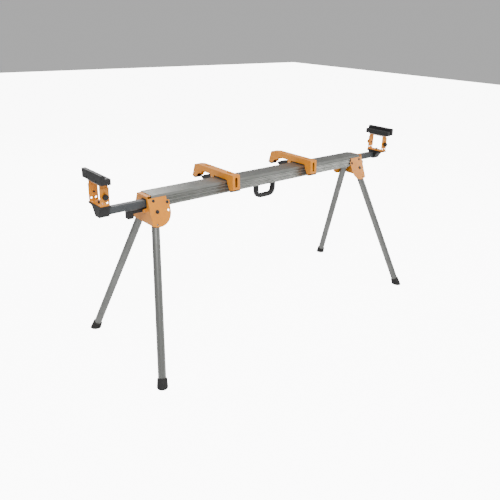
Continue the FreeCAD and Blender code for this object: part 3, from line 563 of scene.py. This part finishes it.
@dataclass
class Knobs:
    """The lobed clamping knobs of the work supports."""

    radius: float = 13.0 * MM
    lobe: float = 1.9 * MM
    lobes: int = 7
    screw: float = 4.0 * MM

    def make(self, material: bpy.types.Material) -> None:
        """Make one knob at each end of each support's clamping screws.

        Args:
            material: The moulded plastic.
        """
        for end in ("right", "left"):
            for side in ("rear", "front"):
                name = f"{end}_{side}_knob"
                low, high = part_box(name)
                outward = 1.0 if side == "rear" else -1.0
                start = node_centre(name)
                start[1] = low.y if outward > 0 else high.y
                self.one(name, start, np.array([0.0, outward, 0.0]), high.y - low.y, material)

    def one(self, name: str, start: np.ndarray, axis: np.ndarray, length: float,
            material: bpy.types.Material) -> None:
        """Make one knob with its screw.

        The profile is the screw, a washer face, a lobed grip whose two edges are quarter circles,
        and a dished cap with a low dome in its middle.

        Args:
            name: The CAD node that it stands for.
            start: The inner end of the screw.
            axis: The unit vector away from the support.
            length: From the inner end of the screw to the outer face.
            material: The moulded plastic.
        """
        grip = 17.0 * MM
        face = length - grip
        turn = np.linspace(0.0, math.pi / 2.0, 6)
        edge = 2.2 * MM
        rising, falling = edge * (1.0 - np.cos(turn)), edge * (1.0 - np.sin(turn))
        low = np.stack([face + 1.5 * MM + rising, self.radius - falling], 1)
        high = np.stack([length - falling, self.radius - rising], 1)
        disc = np.linspace(0.66, 0.05, 12)
        swell = 1.2 * MM * np.cos(disc * math.pi / 1.32) ** 2
        dome = np.stack([length - 1.4 * MM + swell, self.radius * disc], 1)
        plain = np.array([[0.0, self.screw - 0.6 * MM], [0.6 * MM, self.screw], [face, self.screw],
                          [face, 8.0 * MM], [face + 1.5 * MM, 8.0 * MM]])
        rim = np.array([[length, 0.76 * self.radius]])
        shape = np.concatenate([plain, low, high, rim, dome])
        lobed = np.concatenate([np.zeros(len(plain)), np.linspace(0.6, 1.0, len(low)),
                                np.linspace(1.0, 0.7, len(high)), np.zeros(1 + len(dome))])
        rest = np.stack([0.0 * lobed, self.lobe * lobed, 0.0 * lobed + self.lobes], 1)
        surface = Surface(f"{name}_grip")
        surface.skin(turned_rows(start, axis, np.concatenate([shape, rest], 1), 112))
        piece = surface.finish(material, name, 40.0)
        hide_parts(name)


@dataclass
class Bolts:
    """The hexagon pivot bolts with their flanges, and the socket screws of the leg brackets.

    Attributes:
        plate: From a leg's pivot to the outer face of its side plate.
        screw_spots: Each screw's place in the plate, outward along the beam and up from the pivot.
    """

    flange: float = 9.4 * MM
    across: float = 8.3 * MM
    head: float = 6.0 * MM
    shank: float = 5.0 * MM
    shank_length: float = 50.0 * MM
    plate: float = 23.5 * MM
    dome: float = 7.6 * MM
    dome_height: float = 4.0 * MM
    screw: float = 4.0 * MM
    screw_length: float = 12.0 * MM
    screw_spots: tuple[tuple[float, float], ...] = ((8.0 * MM, 52.0 * MM), (-62.0 * MM, 36.0 * MM))

    def outward(self, joint: dict) -> np.ndarray:
        """Return the unit normal of a side plate, away from the beam.

        Args:
            joint: The fold joint of the leg on that plate.

        Returns:
            The normal.
        """
        axis = np.array(joint["axis"], float)
        axis /= np.linalg.norm(axis)
        return axis if axis[1] * joint["pos_m"][1] > 0 else -axis

    def make(self, material: bpy.types.Material) -> None:
        """Make the four pivot bolts and the eight bracket screws.

        Args:
            material: The black steel.
        """
        joints = {joint["name"]: joint for joint in frame["joints"]}
        pivots, screws = Surface("hexagon_pivot_bolts"), Surface("socket_bracket_screws")
        for corner in Corner:
            joint = joints[f"{corner.value}_leg_fold"]
            pivot, axis = np.array(joint["pos_m"]), self.outward(joint)
            pivots.skin(turned_rows(pivot + axis * self.plate, axis, self.hexagon_profile()))
            up = np.array([0.0, -axis[2] * np.sign(axis[1]), abs(axis[1])])
            out = np.sign(pivot[0])
            for across, rise in self.screw_spots:
                spot = pivot + np.array([out * across, 0.0, 0.0]) + up * rise + axis * self.plate
                screws.skin(turned_rows(spot, axis, self.socket_profile()))
        for surface, node in ((pivots, "pivot_bolts"), (screws, "bracket_screws")):
            piece = surface.finish(material, "frame", 25.0)
            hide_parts(node)

    def hexagon_profile(self) -> np.ndarray:
        """Return a bolt's profile from the tip of its shank to the chamfer of its hexagon head.

        Returns:
            Rows of height, radius, hex share, lobe depth and lobe count.
        """
        tip = -self.shank_length
        rows = [(tip, self.shank - 1 * MM, 0), (tip + 1 * MM, self.shank, 0), (0.0, self.shank, 0),
                (0.0, self.flange, 0), (0.8 * MM, self.flange, 0), (1.5 * MM, self.flange - 1 * MM, 0),
                (1.5 * MM, self.across, 1), (self.head - 0.9 * MM, self.across, 1),
                (self.head - 0.2 * MM, self.across - 0.9 * MM, 0.4), (self.head, self.across - 1.7 * MM, 0)]
        return np.array([(height, radius, share, 0.0, 6.0) for height, radius, share in rows])

    def socket_profile(self) -> np.ndarray:
        """Return a button screw's profile: shank, a dome that is part of an ellipse, and a socket.

        Returns:
            Rows of height, radius, hex share, lobe depth and lobe count.
        """
        turn = np.linspace(0.0, 0.36 * math.pi, 8)
        rows = [(-self.screw_length, self.screw - 0.8 * MM, 0), (-self.screw_length + MM, self.screw, 0),
                (0.0, self.screw, 0), (0.0, self.dome, 0)]
        rows += [(self.dome_height * math.sin(a), self.dome * math.cos(a), 0) for a in turn[1:]]
        top = self.dome_height * math.sin(turn[-1])
        rows += [(top, 2.9 * MM, 1), (top - 2.2 * MM, 2.9 * MM, 1)]
        return np.array([(height, radius, share, 0.0, 6.0) for height, radius, share in rows])


@dataclass
class CarryHandle:
    """The moulded carry handle: a rounded grip bow under a flange."""

    bow_half: float = 61.0 * MM
    bow_drop: float = 73.0 * MM
    bow_power: float = 4.6
    grip_depth: float = 15.0 * MM
    grip_thick: float = 12.0 * MM
    section_power: float = 2.9
    flange_height: float = 9.0 * MM
    flange_power: float = 7.0

    def make(self, material: bpy.types.Material) -> None:
        """Make the handle in place of its CAD node.

        Args:
            material: The moulded plastic.
        """
        _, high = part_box("carry_handle")
        surface = Surface("moulded_carry_handle")
        surface.skin(self.bow(high.z - 5.0 * MM))
        surface.skin(self.flange(high))
        piece = surface.finish(material, "frame", 40.0)
        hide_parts("carry_handle")

    def bow(self, top: float) -> np.ndarray:
        """Return the rings of the grip bow.

        Its middle line is the lower half of a superellipse: across is the half-width times the
        cosine to a power and down is the drop times the sine to that power. Each ring is a smaller
        superellipse square to the line, with fine finger ribs as a cosine wave along the bottom.

        Args:
            top: The height of the bow's two ends.

        Returns:
            Rings by points by 3.
        """
        power = 2.0 / self.bow_power
        angle = np.linspace(0.0, math.pi, 161)
        across = -self.bow_half * np.sign(np.cos(angle)) * np.abs(np.cos(angle)) ** power
        down = self.bow_drop * np.abs(np.sin(angle)) ** power
        line = np.stack([across, np.zeros_like(angle), top - down], axis=1)
        step = np.gradient(line, axis=0)
        step /= np.linalg.norm(step, axis=1, keepdims=True)
        side = np.array([0.0, 1.0, 0.0])
        inward = np.cross(step, side)
        around = np.linspace(0.0, 2.0 * math.pi, 48, endpoint=False)
        share = 2.0 / self.section_power
        wide = np.sign(np.cos(around)) * np.abs(np.cos(around)) ** share * self.grip_depth
        deep = np.sign(np.sin(around)) * np.abs(np.sin(around)) ** share
        bottom = np.clip(1.0 - (np.abs(line[:, 0]) / (0.72 * self.bow_half)) ** 6, 0.0, 1.0)
        ribs = 0.35 * MM * bottom * (0.5 - 0.5 * np.cos(line[:, 0] / (2.4 * MM) * 2.0 * math.pi / 2.0))
        thick = (self.grip_thick - ribs)[:, None]
        return (line[:, None] + wide[None, :, None] * side + (thick * deep)[..., None] * inward[:, None])

    def flange(self, high: Vector) -> np.ndarray:
        """Return the rings of the flange, a superellipse in plan whose edges are rounded.

        Args:
            high: The highest corner of the CAD handle.

        Returns:
            Rings by points by 3.
        """
        around = np.linspace(0.0, 2.0 * math.pi, 160, endpoint=False)
        share = 2.0 / self.flange_power
        plan = np.stack([np.sign(np.cos(around)) * np.abs(np.cos(around)) ** share * high.x,
                         np.sign(np.sin(around)) * np.abs(np.sin(around)) ** share * high.y], axis=1)
        turn = np.linspace(0.0, math.pi / 2.0, 6)
        edge = 2.0 * MM
        inset = np.concatenate([edge * (1.0 - np.sin(turn)), [0.0]])
        rise = np.concatenate([edge * (1.0 - np.cos(turn)), [self.flange_height]])
        height = high.z - self.flange_height + rise
        scale = 1.0 - inset[:, None, None] / np.array([high.x, high.y])
        rows = np.empty((len(inset), len(around), 3))
        rows[..., :2] = plan[None] * scale
        rows[..., 2] = height[:, None]
        return rows


# --- Room, light and camera ------------------------------------------------------------------


@dataclass
class Studio:
    """The pale floor, the soft lights and the camera.

    Attributes:
        spot: The camera's place.
        heading: Degrees from +Y towards +X.
        dip: Degrees below level.
        roll: Degrees about the view.
        lens: Focal length in millimetres.
        sensor: Width of the sensor in millimetres.
        floor_half: Half the side of the floor.
        paper: The floor's colour.
        glow: How strongly the floor glows to the camera.
        room_light: Strength of the even light from all round.
        aim: The point that the lamps look at.
    """

    spot: tuple[float, float, float] = (-1.9869, -2.1837, 1.5855)
    heading: float = 40.98
    dip: float = 22.8
    roll: float = 1.77
    lens: float = 39.95
    sensor: float = 36.0
    floor_half: float = 14.0
    paper: tuple[float, float, float] = (0.92, 0.92, 0.92)
    glow: float = 9.0
    room_light: float = 0.5
    aim: tuple[float, float, float] = (0.0, 0.0, 0.6)

    def floor(self) -> None:
        """Lay one flat pale floor, which glows to the camera only, so that it looks white."""
        half = self.floor_half
        mesh = bpy.data.meshes.new("floor")
        corners = [(-half, -half, 0), (half, -half, 0), (half, half, 0), (-half, half, 0)]
        mesh.from_pydata(corners, [], [(0, 1, 2, 3)])
        material = bpy.data.materials.new("floor_paper")
        material.use_nodes = True
        shader = material.node_tree.nodes["Principled BSDF"]
        shader.inputs["Base Color"].default_value = (*self.paper, 1.0)
        shader.inputs["Roughness"].default_value = 0.9
        shader.inputs["Emission Color"].default_value = (1.0, 1.0, 1.0, 1.0)
        glow = Graph(material.node_tree)
        seen = glow.add("ShaderNodeLightPath").outputs["Is Camera Ray"]
        strength = glow.math("MULTIPLY", seen, self.glow)
        material.node_tree.links.new(strength, shader.inputs["Emission Strength"])
        mesh.materials.append(material)
        item = bpy.data.objects.new("floor", mesh)
        bpy.context.scene.collection.objects.link(item)

    def lamp(self, name: str, place: tuple[float, float, float], size: float, power: float) -> None:
        """Hang one square soft light that looks at the beam.

        Args:
            name: The light's name.
            place: Where it hangs.
            size: Its side.
            power: Its power in watts.
        """
        light = bpy.data.lights.new(name, "AREA")
        light.size = size
        light.energy = power
        item = bpy.data.objects.new(name, light)
        item.location = place
        item.rotation_euler = (Vector(self.aim) - Vector(place)).to_track_quat("-Z", "Y").to_euler()
        bpy.context.scene.collection.objects.link(item)

    def lights(self) -> None:
        """Fill the room with pale light and hang the key, side and back lights."""
        world = bpy.data.worlds.new("pale_room")
        world.use_nodes = True
        ground = world.node_tree.nodes["Background"]
        ground.inputs["Color"].default_value = (1.0, 1.0, 1.0, 1.0)
        ground.inputs["Strength"].default_value = self.room_light
        bpy.context.scene.world = world
        self.lamp("key_light", (-2.2, -2.6, 4.2), 2.6, 330.0)
        self.lamp("side_light", (3.4, -2.4, 2.6), 2.2, 110.0)
        self.lamp("back_light", (0.5, 3.6, 3.4), 2.4, 130.0)

    def camera(self) -> None:
        """Place the camera."""
        heading, dip, roll = (math.radians(turn) for turn in (self.heading, self.dip, self.roll))
        look = Vector((math.cos(dip) * math.sin(heading), math.cos(dip) * math.cos(heading), -math.sin(dip)))
        level = look.cross(Vector((0.0, 0.0, 1.0))).normalized()
        above = level.cross(look)
        right = math.cos(roll) * level + math.sin(roll) * above
        up = right.cross(look)
        lens = bpy.data.cameras.new("camera")
        lens.sensor_width = self.sensor
        lens.lens = self.lens
        lens.clip_end = 100.0
        item = bpy.data.objects.new("camera", lens)
        turn = Matrix((right, up, -look)).transposed().to_4x4()
        item.matrix_world = Matrix.Translation(Vector(self.spot)) @ turn
        bpy.context.scene.collection.objects.link(item)
        bpy.context.scene.camera = item

    def build(self) -> None:
        """Set up the whole room."""
        self.floor()
        self.lights()
        self.camera()


def main() -> None:
    """Build the looks of the stand in order."""
    logging.basicConfig(level=logging.INFO, format="%(message)s")
    workshop = Workshop()
    workshop.stock()
    workshop.dress(frame["nodes"])
    Feet().make(workshop.materials[Part.RUBBER])
    Knobs().make(workshop.materials[Part.PLASTIC])
    Bolts().make(workshop.materials[Part.BLACK_STEEL])
    CarryHandle().make(workshop.materials[Part.PLASTIC])
    Studio().build()


if __name__ == "__main__":
    main()
